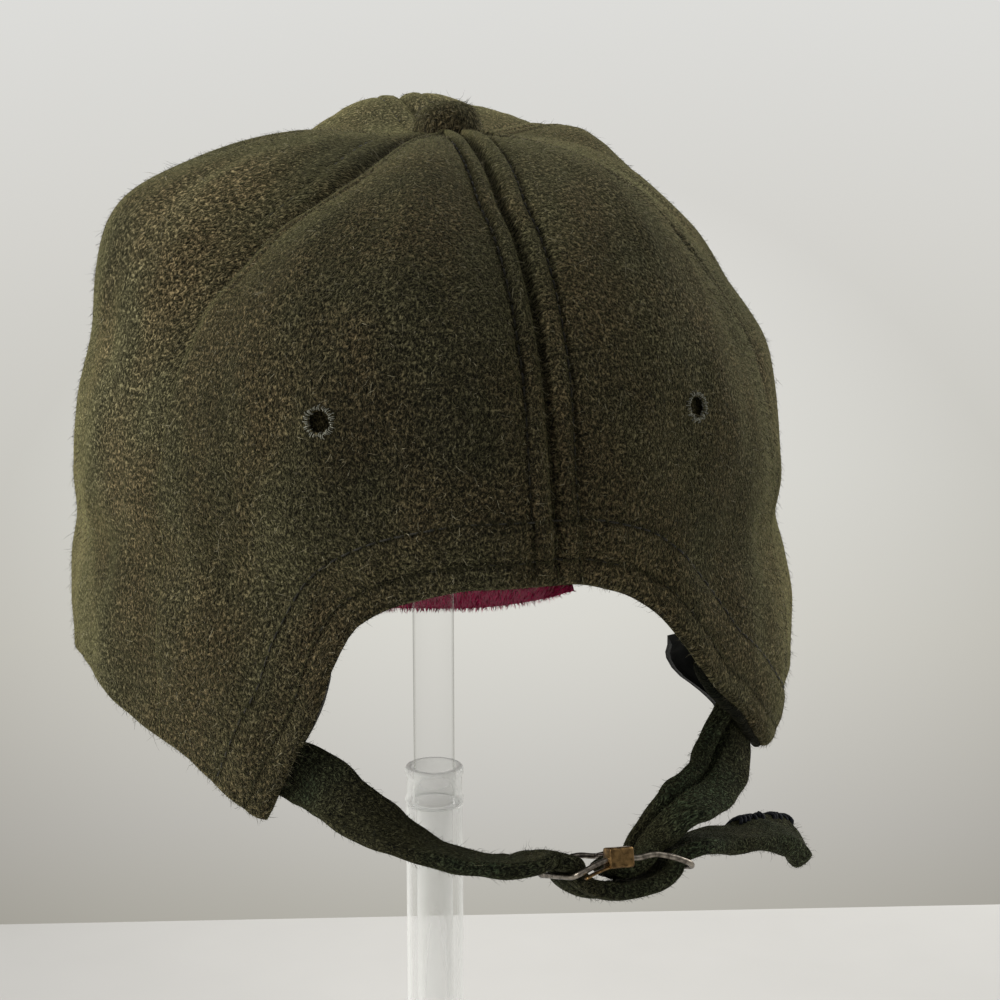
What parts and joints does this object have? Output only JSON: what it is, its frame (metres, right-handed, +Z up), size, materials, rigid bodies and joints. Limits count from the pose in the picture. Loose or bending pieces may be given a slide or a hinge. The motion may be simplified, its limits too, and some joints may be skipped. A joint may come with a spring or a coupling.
{
  "type": "wool strap-back cap on acrylic rod stand",
  "caption": "Dark olive wool panel cap: covered button, sewn eyelets, arched back opening, cloth strap with wire buckle, peak with a crimson underside, shown on a clear rod stand.",
  "frame": {"origin": "centre of the stand's base on its underside, below the rod", "axes": "+Z up along the rod, +Y towards the cap's peak, the back opening faces -Y"},
  "size_m": [0.1758, 0.2618, 0.3444],
  "materials": {
    "wool": "felted melton wool with a raised nap",
    "strap_wool": "felted wool, folded and stitched",
    "eyelet_thread": "dull sewing thread",
    "sweatband": "smooth black band",
    "plush": "crimson plush",
    "wire": "worn nickel plated wire",
    "sleeve": "worn brass",
    "acrylic": "clear polished acrylic"
  },
  "bodies": {
    "root": {"panel_back_left": "wool", "panel_back_right": "wool", "panel_side_left": "wool", "panel_side_right": "wool", "panel_front_left": "wool", "panel_front_right": "wool", "button": "wool", "eyelet_left": "eyelet_thread", "eyelet_right": "eyelet_thread", "sweatband": "sweatband", "peak": "wool", "peak_lining": "plush", "strap_left": "strap_wool", "strap_right": "strap_wool", "buckle_frame": "wire", "buckle_sleeve": "sleeve", "stand_base": "acrylic", "stand_tube": "acrylic", "stand_collar": "acrylic", "stand_rod": "acrylic", "stand_rest": "acrylic"}
  },
  "joints": []
}
